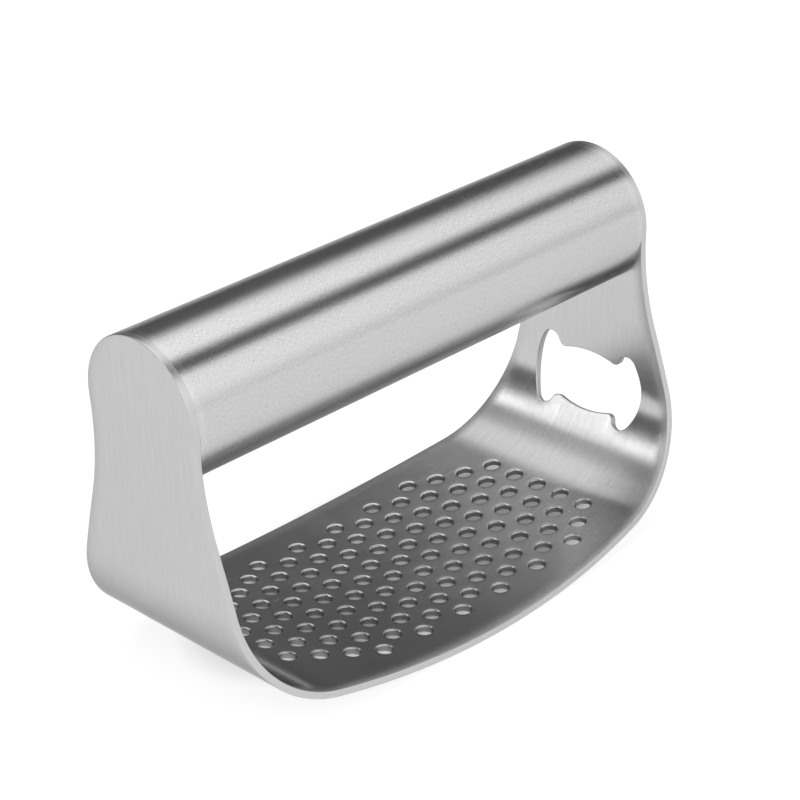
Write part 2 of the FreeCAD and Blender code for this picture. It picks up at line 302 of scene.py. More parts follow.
@dataclass
class RockerStrip:
    """The whole strip: both faces, the deburred edge all round, the pressing holes and the opener.

    The rounds are the radii of deburred edges, and the leans are how far deburring tips the faces' normals
    beside them. The shares place lines of points between a block of the grid, at 0, and an outline, at 1.
    The opener's block is how far below and above the window's middle those lines start, and its lead is how
    far outside the outline their knees lie. The inside corner fades from rounded to sharp over the sharp
    share of the handle's radius.
    """

    sheet: BentSheet
    edge_round: float = 0.25 * MM
    roll_reach: float = 2.8 * MM
    roll_lean: float = 0.18
    hole_radius: float = 1.65 * MM
    hole_round: float = 0.42 * MM
    hole_lean: float = 0.04
    column_pitch: float = 5.5 * MM
    row_pitch: float = 6.6 * MM
    columns: int = 16
    rows: int = 7
    end_column_rows: float = 2.5
    squares_per_hole: int = 8
    border_squares: int = 6
    hole_shares: tuple[float, ...] = (0.0, 0.45, 0.8, 1.0)
    hole_round_steps: int = 3
    bend_rows: int = 32
    wall_rows: int = 25
    end_rows: int = 25
    sharp_share: float = 0.35
    opener_below_bend_line: float = 4.2 * MM
    opener_radius: float = 14.8 * MM
    neck_height: float = 7.0 * MM
    neck_radius: float = 22.2 * MM
    lobe_height: float = 8.7 * MM
    lobe_radius: float = 2.2 * MM
    tooth_radius: float = 1.6 * MM
    tongue_angle: float = math.radians(50.0)
    tongue_half: float = 11.0 * MM
    tongue_most: float = 0.3
    lobe_steps: int = 12
    tooth_steps: int = 7
    neck_steps: int = 18
    opener_block: tuple[float, float] = (17.0 * MM, 12.5 * MM)
    opener_shares: tuple[float, ...] = (0.0, 0.25, 0.45, 0.62, 0.77, 0.9, 1.0)
    opener_lead: float = 1.0 * MM
    opener_cut: float = 0.5
    maker: MeshMaker = field(default_factory=MeshMaker)

    @property
    def field_half(self) -> float:
        """Half of the length of the plate's regular grid."""
        return self.columns * self.column_pitch / 2

    @property
    def band_half(self) -> float:
        """Half of the width of the band that the hole columns fill."""
        return (self.rows + 0.5) * self.row_pitch / 2

    def edge_lean(self, along: np.ndarray, across: np.ndarray) -> tuple[np.ndarray, np.ndarray]:
        """How deburring rolls the surface over near the blank's edge, with a square falloff.

        Args:
            along: Distances along the sheet.
            across: Places across it.

        Returns:
            How far the normals lean along and across the sheet, and how near the edge each place lies.
        """
        width, way = self.sheet.outline(along, self.edge_round)
        near = np.clip(1.0 - (width - np.abs(across)) / self.roll_reach, 0.0, 1.0)
        side = np.where(across < 0, -1.0, 1.0)
        way = np.stack([way[..., 0], side * way[..., 1]], axis=-1)
        return self.roll_lean * near[..., None] ** 2 * way, near

    def tongue_lean(self, along: np.ndarray, across: np.ndarray) -> np.ndarray:
        """How the tongue under the opener stays flatter than the bend, most of all in its middle.

        The window cuts the fold there, so the angle past a limit is taken back, with a fourth-power falloff.

        Args:
            along: Distances along the sheet.
            across: Places across it.

        Returns:
            How far the normals lean along the sheet.
        """
        angle = self.sheet.rocker_angle + (along - self.sheet.rocker_arc) / self.sheet.bend_radius
        stop = self.sheet.bend_line - self.opener_below_bend_line
        past = np.where(along < stop, np.clip(angle - self.tongue_angle, 0.0, self.tongue_most), 0.0)
        share = np.clip(1.0 - (across / self.tongue_half) ** 4, 0.0, 1.0)
        return past * share

    def add_flat(self, face: Face, along: np.ndarray, across: np.ndarray, keep: np.ndarray | None = None,
                 lean: np.ndarray | float = 0.0) -> None:
        """Adds a grid of flat places to one face of the strip.

        Args:
            face: The face that the grid belongs to.
            along: Distances along the sheet.
            across: Places across it, of the same shape.
            keep: Which grid squares are faces.
            lean: How far the normals lean along and across the sheet, besides the edge's own lean.
        """
        inside = face is Face.INSIDE
        points, outward, onward = self.sheet.bend(along, across, self.sheet.thickness if inside else 0.0)
        leaning, near = self.edge_lean(along, across)
        leaning = leaning + lean
        tongue = self.tongue_lean(along, across) * (1.0 if inside else -1.0)
        normals = -outward if inside else outward
        normals = normals + onward * (leaning[..., :1] + tongue[..., None])
        normals[..., 1] += leaning[..., 1]
        self.maker.add(points, normals, np.stack([across, along], axis=-1), edge=near, keep=keep)

    def add_rim(self, along: np.ndarray, across: np.ndarray, way: np.ndarray, rounding: float,
                lean: float = 0.0, inside_share: np.ndarray | float = 1.0, steps: int = 4,
                cut: float = 0.0) -> None:
        """Carries the edge's rounded profile along a line of flat places.

        The profile leaves the inside face in a quarter circle, runs straight down the sheet's thickness and
        meets the outside face in another quarter circle.

        Args:
            along: Distances along the sheet of the line, which lies inside the edge by the rounding.
            across: Places across it.
            way: Directions out of the metal as (along, across).
            rounding: The quarter circles' radius.
            lean: How far the faces' normals already lean outwards where the profile starts.
            inside_share: How much of the inside's rounding is kept, from 0 for a sharp corner to 1.
            steps: Steps in each quarter circle.
            cut: How raw the cut in the middle of the thickness is, from 0 to 1.
        """
        quarter = np.linspace(0.0, math.pi / 2, steps + 1)[None, :]
        kept = rounding * np.broadcast_to(np.asarray(inside_share, float), along.shape)[:, None]
        reach_in = rounding - kept + kept * np.sin(quarter)
        depth_in = self.sheet.thickness - kept + kept * np.cos(quarter)
        turn = np.concatenate([quarter, quarter[:, ::-1]], axis=1)
        reach_out = rounding * np.sin(quarter[:, ::-1]) + 0.0 * kept
        depth_out = rounding * (1 - np.cos(quarter[:, ::-1])) + 0.0 * kept
        start = np.zeros_like(kept)
        reach = np.concatenate([start, reach_in, reach_out], axis=1)
        depth = np.concatenate([start + self.sheet.thickness, depth_in, depth_out], axis=1)
        turn = np.broadcast_to(np.maximum(np.concatenate([[[0.0]], turn], axis=1), lean), reach.shape)
        face_sign = np.where(np.arange(reach.shape[1]) <= steps + 1, -1.0, 1.0)[None, :, None]
        flat_along = along[:, None] + reach * way[:, :1]
        flat_across = across[:, None] + reach * way[:, 1:]
        points, outward, onward = self.sheet.bend(flat_along, flat_across, depth)
        out_of_edge = onward * way[:, :1, None] + np.array([0.0, 1.0, 0.0]) * way[:, 1:, None]
        normals = np.sin(turn)[..., None] * out_of_edge + np.cos(turn)[..., None] * face_sign * outward
        stride = np.hypot(np.diff(along, prepend=along[0]), np.diff(across, prepend=across[0]))
        travelled = np.broadcast_to(np.cumsum(stride)[:, None], depth.shape)
        # the raw cut's mask, which also carries the painted shade inside the hole barrels
        raw = cut * np.sin(turn) ** 4
        self.maker.add(points, normals, np.stack([depth - reach, travelled], axis=-1), raw, 1.0 - cut)

    def plate_grid(self) -> tuple[np.ndarray, np.ndarray]:
        """The plate's regular grid.

        Returns:
            Its distances along, and its places across.
        """
        along = np.linspace(-self.field_half, self.field_half, self.columns * self.squares_per_hole + 1)
        count = int(round(2 * self.band_half / self.row_pitch * self.squares_per_hole))
        return along, np.linspace(-self.band_half, self.band_half, count + 1)

    def hole_centres(self) -> np.ndarray:
        """Where the pressing holes lie: staggered columns, without the corners at each end.

        Returns:
            One row of (along, across) for each hole.
        """
        column = np.arange(self.columns)
        along = (column - (self.columns - 1) / 2) * self.column_pitch
        stagger = np.where(column % 2 == 0, 1.0, -1.0) * self.row_pitch / 4
        row = (np.arange(self.rows) - (self.rows - 1) / 2) * self.row_pitch
        across = row[None, :] + stagger[:, None]
        from_end = np.minimum(column, self.columns - 1 - column)
        limit = (self.end_column_rows + 0.5 * np.minimum(from_end, 2)) * self.row_pitch
        kept = np.abs(across) < limit[:, None]
        return np.stack([np.broadcast_to(along[:, None], across.shape)[kept], across[kept]], axis=-1)

    def add_plate(self) -> None:
        """Adds both faces of the plate: a regular grid, in which each hole replaces a block of squares."""
        along, across = self.plate_grid()
        middle = [(edge[:-1] + edge[1:]) / 2 for edge in (along, across)]
        keep = np.ones((len(along) - 1, len(across) - 1), bool)
        for centre in self.hole_centres():
            near_along = np.abs(middle[0] - centre[0]) < self.column_pitch / 2
            near_across = np.abs(middle[1] - centre[1]) < self.row_pitch / 2
            keep[np.ix_(near_along, near_across)] = False
        grid_along, grid_across = np.meshgrid(along, across, indexing="ij")
        width, _ = self.sheet.outline(along, self.edge_round)
        share = np.linspace(0.0, 1.0, self.border_squares + 1)[None, :]
        border = lerp(np.full_like(width, self.band_half)[:, None], width[:, None], share)
        border_along = np.broadcast_to(along[:, None], border.shape)
        for face in Face:
            self.add_flat(face, grid_along, grid_across, keep)
            self.add_flat(face, border_along, border)
            self.add_flat(face, border_along, -border)

    def add_holes(self) -> None:
        """Adds the metal round each hole and its barrel: squares that blend a block's edge into a circle."""
        side = np.linspace(-0.5, 0.5, self.squares_per_hole + 1)[:-1]
        half = np.full_like(side, 0.5)
        block = np.concatenate([
            np.stack([half, side], axis=1), np.stack([-side, half], axis=1),
            np.stack([-half, -side], axis=1), np.stack([side, -half], axis=1)])
        block = np.concatenate([block, block[:1]]) * [self.column_pitch, self.row_pitch]
        spoke = block / np.linalg.norm(block, axis=1, keepdims=True)
        ring = spoke * (self.hole_radius + self.hole_round)
        share = np.array(self.hole_shares)[None, :, None]
        blend = lerp(block[:, None, :], ring[:, None, :], share)
        lean = -self.hole_lean * share ** 4 * spoke[:, None, :]
        for centre in self.hole_centres():
            for face in Face:
                self.add_flat(face, centre[0] + blend[..., 0], centre[1] + blend[..., 1], lean=lean)
            self.add_rim(centre[0] + ring[:, 0], centre[1] + ring[:, 1], -spoke, self.hole_round,
                         self.hole_lean, steps=self.hole_round_steps, cut=1.0)

    def arm_rows(self) -> np.ndarray:
        """Where one arm's lines across lie, from the plate's grid to the round top.

        They are evenly spaced on the bend and on the wall, and by angle on the end circle.

        Returns:
            Their distances along the sheet.
        """
        in_bend = np.linspace(self.field_half, self.sheet.bend_line, self.bend_rows)
        on_wall = np.linspace(self.sheet.bend_line, self.sheet.handle_distance, self.wall_rows)
        turn = np.linspace(0.0, math.pi / 2, self.end_rows)
        end = self.sheet.handle_distance + (self.sheet.handle_radius - self.edge_round) * np.sin(turn)
        return np.concatenate([in_bend, on_wall[1:], end[1:]])

    def arm_shares(self) -> np.ndarray:
        """How the plate's last line across is shared out, which every line of the arm repeats.

        Returns:
            Its places across, as shares of the half width there.
        """
        _, across = self.plate_grid()
        width, _ = self.sheet.outline(np.array([self.field_half]), self.edge_round)
        border = np.linspace(self.band_half, width[0], self.border_squares + 1)[1:]
        return np.concatenate([-border[::-1], across, border]) / width[0]

    def opener_arcs(self) -> list[tuple[tuple[float, float], float, float, float, int]]:
        """The window's upper outline from +Y to -Y.

        Neighbouring arcs touch, so each centre follows from the radii: the lobes lie inside the window's
        circle, and the teeth lie outside both the neck's circle and the lobes.

        Returns:
            Each arc as its centre in (across, height), radius, first and last angle, and its steps.
        """
        lobe_rise = self.lobe_height - self.lobe_radius
        lobe = (math.sqrt((self.opener_radius - self.lobe_radius) ** 2 - lobe_rise ** 2), lobe_rise)
        neck = (0.0, self.neck_height - self.neck_radius)
        reach_neck, reach_lobe = self.neck_radius + self.tooth_radius, self.lobe_radius + self.tooth_radius
        gap = math.dist(neck, lobe)
        foot = (reach_neck ** 2 - reach_lobe ** 2 + gap ** 2) / (2 * gap)
        rise = math.sqrt(reach_neck ** 2 - foot ** 2)
        unit = ((lobe[0] - neck[0]) / gap, (lobe[1] - neck[1]) / gap)
        tooth = (neck[0] + foot * unit[0] - rise * unit[1], neck[1] + foot * unit[1] + rise * unit[0])

        def heading(start: tuple[float, float], end: tuple[float, float]) -> float:
            """The angle of the line between two points, in radians."""
            return math.atan2(end[1] - start[1], end[0] - start[0])

        from_neck = heading(neck, tooth)
        lobe_start = heading((0.0, 0.0), lobe)
        half = [
            (lobe, self.lobe_radius, lobe_start, heading(lobe, tooth), self.lobe_steps),
            (tooth, -self.tooth_radius, heading(tooth, lobe), from_neck - math.pi, self.tooth_steps),
        ]
        other = [((-at[0], at[1]), radius, math.pi - end, math.pi - start, steps)
                 for at, radius, start, end, steps in reversed(half)]
        return half + [(neck, self.neck_radius, from_neck, math.pi - from_neck, self.neck_steps)] + other

    def opener_outline(self, side_steps: int) -> tuple[np.ndarray, np.ndarray]:
        """The window's whole outline, grown by the edge's rounding so that it lies in the metal.

        Args:
            side_steps: Steps along each of the two side arcs.

        Returns:
            Places as (across, height) about the window's middle, and the directions into the window.
        """
        places, ways = [], []
        arcs = self.opener_arcs()
        corner = arcs[0][2]
        side = ((0.0, 0.0), self.opener_radius, math.pi - corner, math.pi + corner, side_steps)
        upper = arcs + [side]
        for turned in (1.0, -1.0):
            for centre, radius, start, end, steps in upper:
                angle = np.linspace(start, end, steps + 1)[:-1]
                spoke = np.stack([np.cos(angle), np.sin(angle)], axis=1)
                sign = math.copysign(1.0, radius)
                place = np.array(centre) + spoke * (abs(radius) + sign * self.edge_round)
                places.append(turned * place)
                ways.append(-turned * sign * spoke)
        places, ways = np.concatenate(places), np.concatenate(ways)
        return np.concatenate([places, places[:1]]), np.concatenate([ways, ways[:1]])

    def add_arm(self, half: int) -> None:
        """Adds a bend and its wall: a grid whose lines across shrink with the blank's outline.

        Args:
            half: 1 for the arm with the opener, -1 for the other.
        """
        along = self.arm_rows()
        shares = self.arm_shares()
        width, _ = self.sheet.outline(along, self.edge_round)
        across = width[:, None] * shares[None, :]
        grid_along = np.broadcast_to(half * along[:, None], across.shape)
        keep = None
        if half > 0:
            keep = self.add_opener(along, across)
        for face in Face:
            self.add_flat(face, grid_along, across, keep)

    def add_opener(self, along: np.ndarray, across: np.ndarray) -> np.ndarray:
        """Adds the metal round the opener and its edge, in place of a block of the arm's grid.

        Each line of points starts at the block's edge and comes in square to the window's outline: it is the
        blend of two blends that share a knee just outside the outline.

        Args:
            along: The arm's distances along the sheet.
            across: The arm's grid of places across.

        Returns:
            Which of the arm's grid squares stay.
        """
        middle = self.sheet.bend_line - self.opener_below_bend_line
        first = int(np.searchsorted(along, middle - self.opener_block[0]))
        last = int(np.searchsorted(along, middle + self.opener_block[1]))
        centre_column = across.shape[1] // 2
        reach = sum(arc[4] for arc in self.opener_arcs()) // 2
        low, high = centre_column - reach, centre_column + reach
        rows, columns = np.arange(first, last + 1), np.arange(low, high + 1)
        across_steps, along_steps = len(columns) - 1, len(rows) - 1
        loop_row = np.concatenate([
            np.full(across_steps, last), rows[:0:-1], np.full(across_steps, first), rows[:-1], [last]])
        loop_column = np.concatenate([
            columns[:0:-1], np.full(along_steps, low), columns[:-1], np.full(along_steps, high), [high]])
        block_along, block_across = along[loop_row], across[loop_row, loop_column]
        place, way = self.opener_outline(last - first)
        ring_along, ring_across = middle + place[:, 1], place[:, 0]
        block = np.stack([block_along, block_across], axis=1)[:, None, :]
        ring = np.stack([ring_along, ring_across], axis=1)[:, None, :]
        knee = ring - self.opener_lead * way[:, None, ::-1]
        share = np.array(self.opener_shares)[None, :, None]
        lines = lerp(lerp(block, knee, share), lerp(knee, ring, share), share)
        for face in Face:
            self.add_flat(face, lines[..., 0], lines[..., 1])
        self.add_rim(ring_along, ring_across, way[:, ::-1], self.edge_round, cut=self.opener_cut)
        keep = np.ones((across.shape[0] - 1, across.shape[1] - 1), bool)
        keep[first:last, low:high] = False
        return keep

    def add_edge(self) -> None:
        """Adds the deburred edge all round the blank, with a sharp inside corner where the handle sits."""
        arm = self.arm_rows()
        along = np.concatenate([-arm[:0:-1], self.plate_grid()[0], arm[1:]])
        width, way = self.sheet.outline(along, self.edge_round)
        near_handle = (np.abs(along) - self.sheet.handle_distance) / self.sheet.handle_radius
        share = np.clip(-near_handle / self.sharp_share, 0.0, 1.0)
        for side in (-1, 1):
            self.add_rim(along, side * width, way * [1.0, side], self.edge_round, self.roll_lean, share)

    def build(self) -> bpy.types.Object:
        """Adds every surface of the strip and joins them.

        Returns:
            The strip's object.
        """
        self.add_plate()
        self.add_holes()
        self.add_arm(1)
        self.add_arm(-1)
        self.add_edge()
        return self.maker.build("strip")


# Turned pieces

@dataclass
class TurnedPiece:
    """A closed ring turned about the handle's axis from a profile with sharp corners."""

    name: str
    axis_height: float
    profile: list[tuple[float, float]]
    steps_round: int = 256
    longest_step: float = 4.0 * MM

    def build(self) -> bpy.types.Object:
        """Turns each side of the profile into a band: (x, r) becomes (x, -r cos a, height + r sin a).

        Returns:
            The piece's object.
        """
        maker = MeshMaker()
        turn = np.linspace(0.0, 2 * math.pi, self.steps_round + 1)
        around = np.stack([np.zeros_like(turn), -np.cos(turn), np.sin(turn)], axis=-1)
        corners = np.array(self.profile + self.profile[:1])
        centre = corners[:-1].mean(axis=0)
        for start, end in zip(corners[:-1], corners[1:]):
            steps = max(1, math.ceil(float(np.linalg.norm(end - start)) / self.longest_step))
            line = lerp(start[None, :], end[None, :], np.linspace(0.0, 1.0, steps + 1)[:, None])
            normal = np.array([end[1] - start[1], start[0] - end[0]])
            normal = normal * math.copysign(1.0, float(normal @ ((start + end) / 2 - centre)))
            points = line[:, None, 1:] * around[None, :, :]
            points[..., 0] += line[:, None, 0]
            points[..., 2] += self.axis_height
            normals = normal[1] * around + normal[0] * np.array([1.0, 0.0, 0.0])
            arc = np.broadcast_to(turn[None, :] * corners[:, 1].max(), points.shape[:2])
            flat = np.stack([np.broadcast_to(line[:, :1], arc.shape) + line[:, 1:], arc], axis=-1)
            maker.add(points, normals[None, :, :], flat)
        return maker.build(self.name)


@dataclass
class Handle:
    """The tube between the walls and the two weld rings that fill its bevels."""

    axis_height: float
    radius: float
    half_length: float
    wall: float = 0.8 * MM
    land: float = 0.1 * MM
    bevel: float = 1.0 * MM

    def tube(self) -> bpy.types.Object:
        """Turns the tube, bevelled outside at both ends.

        Returns:
            The tube's object.
        """
        bore = self.radius - self.wall
        half = [
            (self.half_length, bore),
            (self.half_length, bore + self.land),
            (self.half_length - self.bevel, self.radius),
        ]
        profile = half + [(-along, radius) for along, radius in reversed(half)]
        return TurnedPiece("handle", self.axis_height, profile).build()

    def weld(self, side: int) -> bpy.types.Object:
        """One weld ring, ground flush.

        Args:
            side: 1 for the +X end, -1 for the other.

        Returns:
            The ring's object.
        """
        root = self.radius - self.wall + self.land
        profile = [
            (side * self.half_length, root),
            (side * self.half_length, self.radius),
            (side * (self.half_length - self.bevel), self.radius),
        ]
        name = "weld_right" if side > 0 else "weld_left"
        return TurnedPiece(name, self.axis_height, profile).build()


# Shader building

class Shader:
    """A small helper that adds nodes to a tree and joins them."""

    def __init__(self, tree: bpy.types.NodeTree) -> None:
        """Keeps the tree that the nodes go into."""
        self.tree = tree

    def node(self, kind: str, **settings: object) -> bpy.types.Node:
        """Adds a node and sets its properties.

        Args:
            kind: The node's type.
            settings: Its properties by name.

        Returns:
            The new node.
        """
        made = self.tree.nodes.new(kind)
        for key, value in settings.items():
            setattr(made, key, value)
        return made

    def feed(self, socket: bpy.types.NodeSocket, value: object) -> None:
        """Joins an output to a socket, or sets the socket's own value.

        Args:
            socket: The input to fill.
            value: Another node's output, or a plain value.
        """
        if isinstance(value, bpy.types.NodeSocket):
            self.tree.links.new(value, socket)
        else:
            socket.default_value = value

    def math(self, operation: str, *values: object) -> bpy.types.NodeSocket:
        """Adds a Math node.

        Args:
            operation: What it works out.
            values: Its inputs in order.

        Returns:
            Its output.
        """
        made = self.node("ShaderNodeMath", operation=operation)
        for socket, value in zip(made.inputs, values):
            self.feed(socket, value)
        return made.outputs[0]

    def scaled(self, vector: bpy.types.NodeSocket, scale: tuple[float, float, float]) -> bpy.types.NodeSocket:
        """Multiplies a vector part by part.

        Args:
            vector: The vector's output.
            scale: What each part is multiplied by.

        Returns:
            The scaled vector's output.
        """
        made = self.node("ShaderNodeVectorMath", operation="MULTIPLY")
        self.feed(made.inputs[0], vector)
        self.feed(made.inputs[1], scale)
        return made.outputs[0]

    def noise(self, vector: bpy.types.NodeSocket, scale: object, detail: float = 2.0,
              roughness: float = 0.5) -> bpy.types.NodeSocket:
        """Adds a Noise Texture.

        Args:
            vector: Where the noise is read.
            scale: How fine it is.
            detail: How many finer layers it has.
            roughness: How much each finer layer counts.

        Returns:
            Its value's output.
        """
        made = self.node("ShaderNodeTexNoise")
        self.feed(made.inputs["Vector"], vector)
        self.feed(made.inputs["Scale"], scale)
        made.inputs["Detail"].default_value = detail
        made.inputs["Roughness"].default_value = roughness
        return made.outputs["Fac"]

    def spread(self, value: object, low: float, high: float, to_low: object = 0.0,
               to_high: object = 1.0) -> bpy.types.NodeSocket:
        """Adds a Map Range node, which stops at both ends.

        Args:
            value: What is mapped.
            low: The value that gives to_low.
            high: The value that gives to_high.
            to_low: The result at the low end.
            to_high: The result at the high end.

        Returns:
            Its output.
        """
        made = self.node("ShaderNodeMapRange")
        for name, part in zip(RANGE_SOCKETS, (value, low, high, to_low, to_high)):
            self.feed(made.inputs[name], part)
        return made.outputs["Result"]


def new_group(name: str, inputs: dict[str, tuple[str, float]], outputs: dict[str, str]) -> bpy.types.NodeTree:
    """Makes an empty shader node group with named sockets.

    Args:
        name: The group's name.
        inputs: Each input's socket type and its starting value.
        outputs: Each output's socket type.

    Returns:
        The group, with its Group Input and Group Output nodes inside.
    """
    tree = bpy.data.node_groups.new(name, "ShaderNodeTree")
    for label, (kind, value) in inputs.items():
        socket = tree.interface.new_socket(label, in_out="INPUT", socket_type=kind)
        if kind == FLOAT:
            socket.default_value = value
    for label, kind in outputs.items():
        tree.interface.new_socket(label, in_out="OUTPUT", socket_type=kind)
    tree.nodes.new("NodeGroupInput")
    tree.nodes.new("NodeGroupOutput")
    return tree


@dataclass(frozen=True)
class GrainGroup:
    """Brushing: fine lines that run along V on the flat blank, broken into strokes of uneven depth."""

    name: str = "brushed_grain"
    fine_detail: float = 3.0
    coarse_size: float = 0.23
    coarse_detail: float = 2.0
    stroke_roughness: float = 0.6
    cloud_scale: float = 260.0
    cloud_span: tuple[float, float] = (0.3, 0.7)
    cloud_fade: float = 0.4

    def tree(self) -> bpy.types.NodeTree:
        """Builds the group once, or finds the one already built.

        Returns:
            The group.
        """
        if self.name in bpy.data.node_groups:
            return bpy.data.node_groups[self.name]
        tree = new_group(
            self.name,
            {"Flat": (VECTOR, 0.0), "Lines": (FLOAT, 1.0), "Stretch": (FLOAT, 1.0), "Coarse": (FLOAT, 0.0)},
            {"Grain": FLOAT, "Height": FLOAT})
        shader = Shader(tree)
        given, result = tree.nodes["Group Input"].outputs, tree.nodes["Group Output"].inputs
        parts = shader.node("ShaderNodeSeparateXYZ")
        shader.feed(parts.inputs[0], given["Flat"])

        def strokes(fineness: float, detail: float) -> bpy.types.NodeSocket:
            """Noise squeezed across the lines and stretched along them.

            Args:
                fineness: How fine the strokes are, next to the finest.
                detail: How many finer layers the noise has.

            Returns:
                The noise's output.
            """
            joined = shader.node("ShaderNodeCombineXYZ")
            shader.feed(joined.inputs[0], shader.math("MULTIPLY", parts.outputs[0], fineness))
            along = shader.math("MULTIPLY", parts.outputs[1], given["Stretch"])
            shader.feed(joined.inputs[1], shader.math("MULTIPLY", along, fineness))
            return shader.noise(joined.outputs[0], given["Lines"], detail, self.stroke_roughness)

        fine, coarse = strokes(1.0, self.fine_detail), strokes(self.coarse_size, self.coarse_detail)
        cloud = shader.spread(shader.noise(given["Flat"], self.cloud_scale), *self.cloud_span)
        deeper = shader.math("MULTIPLY", shader.math("SUBTRACT", coarse, fine), given["Coarse"])
        mixed = shader.math("ADD", fine, deeper)
        centred = shader.math("SUBTRACT", mixed, 0.5)
        strength = shader.math("SUBTRACT", 1.0, shader.math("MULTIPLY", cloud, self.cloud_fade))
        grain = shader.math("ADD", shader.math("MULTIPLY", centred, strength), 0.5)
        shader.feed(result["Grain"], grain)
        shader.feed(result["Height"], mixed)
        return tree


@dataclass(frozen=True)
class HandlingGroup:
    """Handling marks: faint smudges and sparse hairline scratches that only change the gloss."""

    name: str = "handling_marks"
    smudge_scale: float = 55.0
    smudge_detail: float = 4.0
    smudge_roughness: float = 0.6
    smudge_span: tuple[float, float] = (0.42, 0.72)
    hair_turn: tuple[float, float, float] = (0.5, 0.3, 0.9)
    hair_stretch: tuple[float, float, float] = (1.0, 26.0, 9.0)
    hair_scale: float = 75.0
    hair_width: float = 0.006
    patch_scale: float = 34.0
    patch_span: tuple[float, float] = (0.52, 0.62)

    def tree(self) -> bpy.types.NodeTree:
        """Builds the group once, or finds the one already built.

        Returns:
            The group.
        """
        if self.name in bpy.data.node_groups:
            return bpy.data.node_groups[self.name]
        tree = new_group(self.name, {"Place": (VECTOR, 0.0), "Amount": (FLOAT, 1.0)},
                         {"Smudge": FLOAT, "Scratch": FLOAT})
        shader = Shader(tree)
        given, result = tree.nodes["Group Input"].outputs, tree.nodes["Group Output"].inputs
        cloud = shader.noise(given["Place"], self.smudge_scale, self.smudge_detail, self.smudge_roughness)
        smudge = shader.spread(cloud, *self.smudge_span)
        turned = shader.node("ShaderNodeMapping")
        turned.inputs["Rotation"].default_value = self.hair_turn
        turned.inputs["Scale"].default_value = self.hair_stretch
        shader.feed(turned.inputs["Vector"], given["Place"])
        hair = shader.noise(turned.outputs["Vector"], self.hair_scale, 1.0)
        off_line = shader.math("ABSOLUTE", shader.math("SUBTRACT", hair, 0.5))
        scratch = shader.spread(off_line, 0.0, self.hair_width, 1.0, 0.0)
        patch = shader.spread(shader.noise(given["Place"], self.patch_scale, 1.0), *self.patch_span)
        shader.feed(result["Smudge"], shader.math("MULTIPLY", smudge, given["Amount"]))
        marks = shader.math("MULTIPLY", shader.math("MULTIPLY", scratch, patch), given["Amount"])
        shader.feed(result["Scratch"], marks)
        return tree


